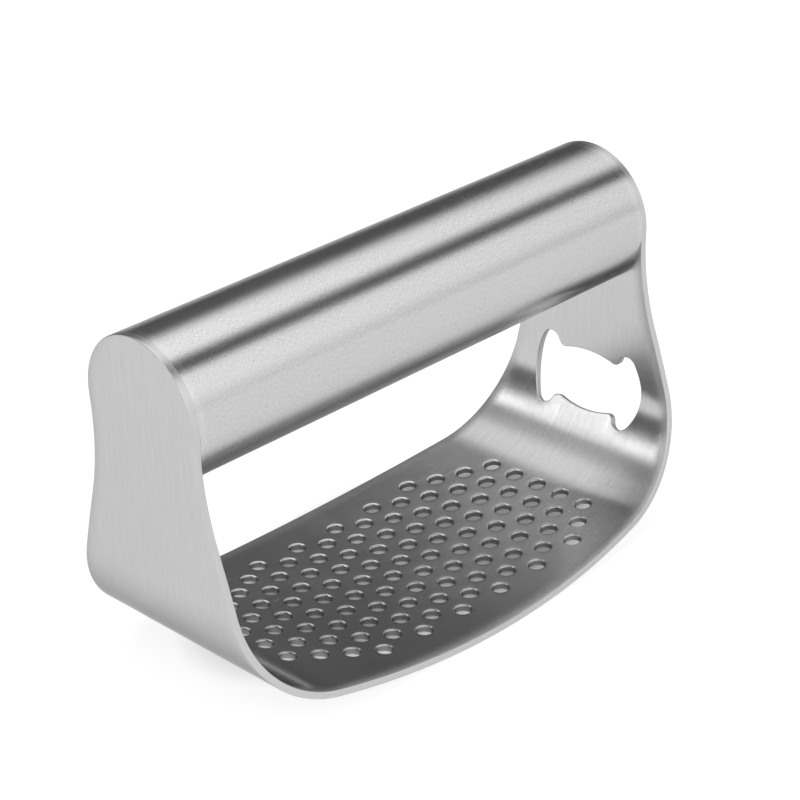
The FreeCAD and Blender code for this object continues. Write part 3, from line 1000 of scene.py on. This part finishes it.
@dataclass(frozen=True)
class SteelFinish:
    """Stainless steel brushed along V of its flat map, so that its highlights spread along U.

    Each dulling is what its effect adds to the roughness in full, and a lift or a shade is what it adds to
    the tint or takes from it. The cut's shade is partly the raw cut's own duller colour and partly painted
    shade inside the hole barrels. The ground zone fades in from polish_from to polish_to, counted from the
    handle's middle, and metal that has none keeps both out of reach.
    """

    name: str
    tint: tuple[float, float, float] = (0.53, 0.53, 0.533)
    edge_tint: float = 0.5
    roughness: float = 0.2
    anisotropy: float = 0.75
    grain_lines: float = 6000.0
    grain_stretch: float = 0.16
    grain_coarse: float = 0.2
    grain_depth: float = 0.4
    grain_contrast: float = 0.08
    roughness_swing: float = 0.08
    handling: float = 1.0
    polish_from: float = 1.0
    polish_to: float = 1.0
    polish_lift: float = 0.08
    polish_dulling: float = 0.09
    polish_wander: float = 0.8 * MM
    wander_scale: float = 300.0
    # partly the raw cut's own duller colour, partly painted shade inside the hole barrels
    cut_tone_and_painted_shade: float = 0.45
    cut_dulling: float = 0.2
    smudge_dulling: float = 0.05
    scratch_dulling: float = 0.12
    edge_frost: float = 0.16
    edge_depth: float = 1.0
    groove_height: float = 0.05 * MM
    tone_span: tuple[float, float] = (0.3, 0.7)

    def material(self) -> bpy.types.Material:
        """Builds the material's nodes.

        Returns:
            The finished material.
        """
        made = bpy.data.materials.new(self.name)
        made.use_nodes = True
        shader = Shader(made.node_tree)
        surface = made.node_tree.nodes["Principled BSDF"]
        surface.inputs["Metallic"].default_value = 1.0
        surface.inputs["Anisotropic"].default_value = self.anisotropy
        surface.inputs["Specular Tint"].default_value = (self.edge_tint, self.edge_tint, self.edge_tint, 1.0)
        flat = shader.node("ShaderNodeUVMap", uv_map="UVMap").outputs["UV"]
        place = shader.node("ShaderNodeTexCoord").outputs["Object"]
        tangent = shader.node("ShaderNodeTangent", direction_type="UV_MAP", uv_map="UVMap")
        shader.feed(surface.inputs["Tangent"], tangent.outputs["Tangent"])
        grain = shader.node("ShaderNodeGroup")
        grain.node_tree = GrainGroup().tree()
        shader.feed(grain.inputs["Flat"], flat)
        shader.feed(grain.inputs["Lines"], self.grain_lines)
        shader.feed(grain.inputs["Stretch"], self.grain_stretch)
        shader.feed(grain.inputs["Coarse"], self.grain_coarse)
        marks = shader.node("ShaderNodeGroup")
        marks.node_tree = HandlingGroup().tree()
        shader.feed(marks.inputs["Place"], place)
        shader.feed(marks.inputs["Amount"], self.handling)
        polish = self.polish(shader, place)
        cut, edge = (shader.node("ShaderNodeAttribute", attribute_name=name).outputs["Fac"]
                     for name in MARK_NAMES)
        self.colour(shader, surface, grain, polish, cut)
        self.gloss(shader, surface, {
            grain.outputs["Grain"]: -self.roughness_swing,
            marks.outputs["Smudge"]: self.smudge_dulling,
            marks.outputs["Scratch"]: self.scratch_dulling,
            polish: self.polish_dulling,
            cut: self.cut_dulling,
            edge: self.edge_frost})
        bump = shader.node("ShaderNodeBump")
        shader.feed(bump.inputs["Strength"], shader.spread(edge, 0.0, 1.0, self.grain_depth, self.edge_depth))
        bump.inputs["Distance"].default_value = self.groove_height
        shader.feed(bump.inputs["Height"], grain.outputs["Height"])
        shader.feed(surface.inputs["Normal"], bump.outputs["Normal"])
        return made

    def polish(self, shader: Shader, place: bpy.types.NodeSocket) -> bpy.types.NodeSocket:
        """Finds the dull zone that grinding the weld leaves at each end, with a wandering limit.

        Args:
            shader: The material's tree.
            place: The point's own place.

        Returns:
            How far a point lies in the zone, from 0 to 1.
        """
        parts = shader.node("ShaderNodeSeparateXYZ")
        shader.feed(parts.inputs[0], place)
        distance = shader.math("ABSOLUTE", parts.outputs["X"])
        cloud = shader.math("SUBTRACT", shader.noise(place, self.wander_scale), 0.5)
        wander = shader.math("MULTIPLY", cloud, self.polish_wander)
        zone = shader.node("ShaderNodeMapRange", interpolation_type="SMOOTHSTEP")
        shader.feed(zone.inputs["Value"], shader.math("ADD", distance, wander))
        shader.feed(zone.inputs["From Min"], self.polish_from)
        shader.feed(zone.inputs["From Max"], self.polish_to)
        return zone.outputs["Result"]

    def colour(self, shader: Shader, surface: bpy.types.Node, grain: bpy.types.Node,
               polish: bpy.types.NodeSocket, cut: bpy.types.NodeSocket) -> None:
        """Varies the tint from stroke to stroke, lightens the ground zone and darkens raw cuts, partly for
        their own duller colour and partly as painted shade inside the hole barrels.

        Args:
            shader: The material's tree.
            surface: The node that takes the colour.
            grain: The brushing group.
            polish: How far a point lies in the ground zone.
            cut: How raw the cut is.
        """
        swing = self.grain_contrast
        tone = shader.spread(grain.outputs["Grain"], *self.tone_span, 1.0 - swing, 1.0 + swing)
        lit = shader.math("ADD", tone, shader.math("MULTIPLY", polish, self.polish_lift))
        # painted shade in part: the raw cut's darker tint also stands in for the shade inside the hole
        # barrels
        raw = shader.math("SUBTRACT", 1.0, shader.math("MULTIPLY", cut, self.cut_tone_and_painted_shade))
        tinted = shader.node("ShaderNodeVectorMath", operation="SCALE")
        shader.feed(tinted.inputs[0], self.tint)
        shader.feed(tinted.inputs["Scale"], shader.math("MULTIPLY", lit, raw))
        shader.feed(surface.inputs["Base Color"], tinted.outputs[0])

    def gloss(self, shader: Shader, surface: bpy.types.Node,
              effects: dict[bpy.types.NodeSocket, float]) -> None:
        """Varies the roughness: each effect, from 0 to 1, adds its own amount.

        Args:
            shader: The material's tree.
            surface: The node that takes the roughness.
            effects: What each effect adds in full.
        """
        rough: object = self.roughness + self.roughness_swing / 2
        for effect, amount in effects.items():
            rough = shader.math("ADD", shader.math("MULTIPLY", effect, amount), rough)
        shader.feed(surface.inputs["Roughness"], rough)


class Finish(Enum):
    """The three finishes that the part's steel has, by the record's slot."""

    STRIP = "strip_steel"
    TUBE = "tube_steel"
    WELD = "weld_steel"

    def steel(self) -> SteelFinish:
        """Picks the finish's own values.

        Returns:
            The steel that the slot is made of.
        """
        if self is Finish.STRIP:
            return SteelFinish("brushed_strip", roughness=0.18, anisotropy=0.5, grain_contrast=0.08,
                               grain_stretch=0.04, grain_coarse=0.35, grain_depth=0.3)
        if self is Finish.TUBE:
            return SteelFinish("brushed_tube", roughness=0.19, anisotropy=0.8, grain_lines=8500.0,
                               grain_stretch=0.2, grain_coarse=0.1, grain_contrast=0.22, grain_depth=0.5,
                               polish_from=57.8 * MM, polish_to=59.6 * MM)
        return SteelFinish("ground_weld", roughness=0.24, anisotropy=0.8, grain_contrast=0.15,
                           tint=(0.56, 0.56, 0.563))


def dress(thing: bpy.types.Object, finish: Finish, material: bpy.types.Material, *nodes: str) -> None:
    """Gives a piece its material and its body, and hides the CAD nodes that it replaces.

    Args:
        thing: The finished piece.
        finish: Not used.
        material: The slot's material.
        nodes: The CAD nodes that it replaces.
    """
    thing.data.materials.append(material)
    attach(thing, "root")
    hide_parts(*nodes)
    log.info("%s: %d triangles for %s", thing.name, len(thing.data.polygons), ", ".join(nodes))


# Studio

@dataclass(frozen=True)
class SoftBox:
    """A long soft light that runs along X at some height over the scene.

    Heights are angles about X in degrees: 0 is the front horizon, 90 straight up and 180 the back horizon.
    Its ends are given as X parts of the direction towards it, from -1 at the far left to 1 at the far right.
    """

    glow: float
    rise: tuple[float, float]
    fall: tuple[float, float] | None = None
    left: tuple[float, float] | None = None
    right: tuple[float, float] | None = None

    def light(self, shader: Shader, height: bpy.types.NodeSocket,
              end: bpy.types.NodeSocket) -> bpy.types.NodeSocket:
        """How bright the box is in a direction.

        Args:
            shader: The tree that the nodes go into.
            height: The direction's height in degrees.
            end: The direction's X part.

        Returns:
            The brightness, with a soft falloff at each side.
        """
        level: object = self.glow
        sides = ((height, self.rise, 0.0, 1.0), (height, self.fall, 1.0, 0.0), (end, self.left, 0.0, 1.0),
                 (end, self.right, 1.0, 0.0))
        for value, span, start, stop in sides:
            if span is None:
                continue
            edge = shader.node("ShaderNodeMapRange", interpolation_type="SMOOTHSTEP")
            for name, part in zip(RANGE_SOCKETS, (value, *span, start, stop)):
                shader.feed(edge.inputs[name], part)
            level = shader.math("MULTIPLY", edge.outputs["Result"], level)
        return level


@dataclass(frozen=True)
class Studio:
    """A pale floor, a soft studio round the object and the camera.

    The soft boxes stand in front, overhead and at the back, and add to the dim light of the whole room. The
    shade is the ellipse under the strip where the floor hardly glows.
    """

    floor_half: float = 12.0
    floor_glow: float = 0.74
    floor_albedo: float = 0.38
    shade_centre: tuple[float, float] = (9.0 * MM, 3.0 * MM)
    shade_half: tuple[float, float] = (53.0 * MM, 29.0 * MM)
    shade_glow: float = 0.17
    shade_fade: tuple[float, float] = (0.75, 1.15)
    dim: float = 0.155
    boxes: tuple[SoftBox, ...] = (
        SoftBox(1.00, (-180.0, -170.0), (50.0, 64.0)),
        SoftBox(0.35, (2.0, 26.0), (50.0, 64.0)),
        SoftBox(1.46, (72.0, 87.0), (113.0, 139.0)),
        SoftBox(0.50, (170.0, 184.0)),
        SoftBox(0.50, (120.0, 128.0), (133.0, 140.0), (-0.30, -0.08), (0.16, 0.38)),
        SoftBox(0.07, (146.0, 152.0), (160.0, 166.0), (0.46, 0.54)),
        SoftBox(3.00, (131.0, 135.0), (140.0, 143.5), (-1.5, -1.4), (-0.60, -0.38)))
    far_end_fade: tuple[float, float] = (0.50, 0.72)
    far_end_level: float = 0.70
    camera_aim: tuple[float, float, float] = (4.5 * MM, 1.5 * MM, 38.1 * MM)
    camera_azimuth: float = -43.49
    camera_elevation: float = 26.87
    camera_roll: float = -2.75
    camera_distance: float = 0.4931
    lens: float = 110.4
    sensor: float = 36.0
    clip: tuple[float, float] = (0.01, 50.0)

    def add_floor(self) -> None:
        """Adds the floor: a wide sheet that glows a little by itself, but less in the shade under the strip.

        The shade is an ellipse: the floor's place, counted in half lengths and half widths from its centre.
        """
        half = self.floor_half
        mesh = bpy.data.meshes.new("floor")
        corners = [(-half, -half, 0.0), (half, -half, 0.0), (half, half, 0.0), (-half, half, 0.0)]
        mesh.from_pydata(corners, [], [(0, 1, 2, 3)])
        floor = bpy.data.objects.new("floor", mesh)
        bpy.context.scene.collection.objects.link(floor)
        paper = bpy.data.materials.new("studio_paper")
        paper.use_nodes = True
        shader = Shader(paper.node_tree)
        surface = paper.node_tree.nodes["Principled BSDF"]
        pale = (self.floor_albedo, self.floor_albedo, self.floor_albedo, 1.0)
        surface.inputs["Base Color"].default_value = pale
        surface.inputs["Roughness"].default_value = 1.0
        surface.inputs["Specular IOR Level"].default_value = 0.0
        surface.inputs["Emission Color"].default_value = (1.0, 1.0, 1.0, 1.0)
        offset = shader.node("ShaderNodeVectorMath", operation="SUBTRACT")
        shader.feed(offset.inputs[0], shader.node("ShaderNodeTexCoord").outputs["Object"])
        shader.feed(offset.inputs[1], (*self.shade_centre, 0.0))
        across, along = 1.0 / self.shade_half[0], 1.0 / self.shade_half[1]
        length = shader.node("ShaderNodeVectorMath", operation="LENGTH")
        shader.feed(length.inputs[0], shader.scaled(offset.outputs[0], (across, along, 0.0)))
        glow = shader.spread(length.outputs["Value"], *self.shade_fade, self.shade_glow, self.floor_glow)
        shader.feed(surface.inputs["Emission Strength"], glow)
        mesh.materials.append(paper)

    def add_sky(self) -> None:
        """Lights the scene from the soft boxes, which are weaker towards the far right end."""
        world = bpy.data.worlds.new("studio")
        bpy.context.scene.world = world
        world.use_nodes = True
        shader = Shader(world.node_tree)
        way = shader.node("ShaderNodeSeparateXYZ")
        shader.feed(way.inputs[0], shader.node("ShaderNodeTexCoord").outputs["Generated"])
        forward = shader.math("MULTIPLY", way.outputs["Y"], -1.0)
        height = shader.math("DEGREES", shader.math("ARCTAN2", way.outputs["Z"], forward))
        level: object = self.dim
        for box in self.boxes:
            level = shader.math("ADD", box.light(shader, height, way.outputs["X"]), level)
        fade = shader.spread(way.outputs["X"], *self.far_end_fade, 1.0, self.far_end_level)
        background = world.node_tree.nodes["Background"]
        background.inputs["Color"].default_value = (1.0, 1.0, 1.0, 1.0)
        shader.feed(background.inputs["Strength"], shader.math("MULTIPLY", level, fade))

    def add_camera(self) -> None:
        """Adds the camera, level first and then rolled about the line that it looks along."""
        azimuth, elevation = math.radians(self.camera_azimuth), math.radians(self.camera_elevation)
        back = Vector((math.sin(azimuth) * math.cos(elevation), -math.cos(azimuth) * math.cos(elevation),
                       math.sin(elevation)))
        camera = bpy.data.objects.new("camera", bpy.data.cameras.new("camera"))
        camera.data.lens = self.lens
        camera.data.sensor_width = self.sensor
        camera.data.clip_start, camera.data.clip_end = self.clip
        place = Vector(self.camera_aim) + back * self.camera_distance
        turn = back.to_track_quat("Z", "Y").to_matrix().to_4x4()
        roll = Matrix.Rotation(math.radians(self.camera_roll), 4, "Z")
        camera.matrix_world = Matrix.Translation(place) @ turn @ roll
        bpy.context.scene.collection.objects.link(camera)
        bpy.context.scene.camera = camera

    def build(self) -> None:
        """Sets the whole studio up."""
        bpy.context.scene.view_settings.view_transform = "Standard"
        self.add_floor()
        self.add_sky()
        self.add_camera()


def main() -> None:
    """Builds the studio, then each piece, and reports them."""
    logging.basicConfig(level=logging.INFO, format="%(name)s: %(message)s")
    Studio().build()
    _, strip_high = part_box("rocker_strip")
    tube_low, tube_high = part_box("handle_tube")
    handle_radius = (tube_high.y - tube_low.y) / 2
    axis_height = strip_high.z - handle_radius
    sheet = BentSheet(strip_high.x, axis_height, handle_radius)
    handle = Handle(axis_height, handle_radius, tube_high.x)
    materials = {finish: finish.steel().material() for finish in Finish}
    dress(RockerStrip(sheet).build(), Finish.STRIP, materials[Finish.STRIP], "rocker_strip")
    dress(handle.tube(), Finish.TUBE, materials[Finish.TUBE], "handle_tube")
    dress(handle.weld(-1), Finish.WELD, materials[Finish.WELD], "left_weld_ring")
    dress(handle.weld(1), Finish.WELD, materials[Finish.WELD], "right_weld_ring")


if __name__ == "__main__":
    main()
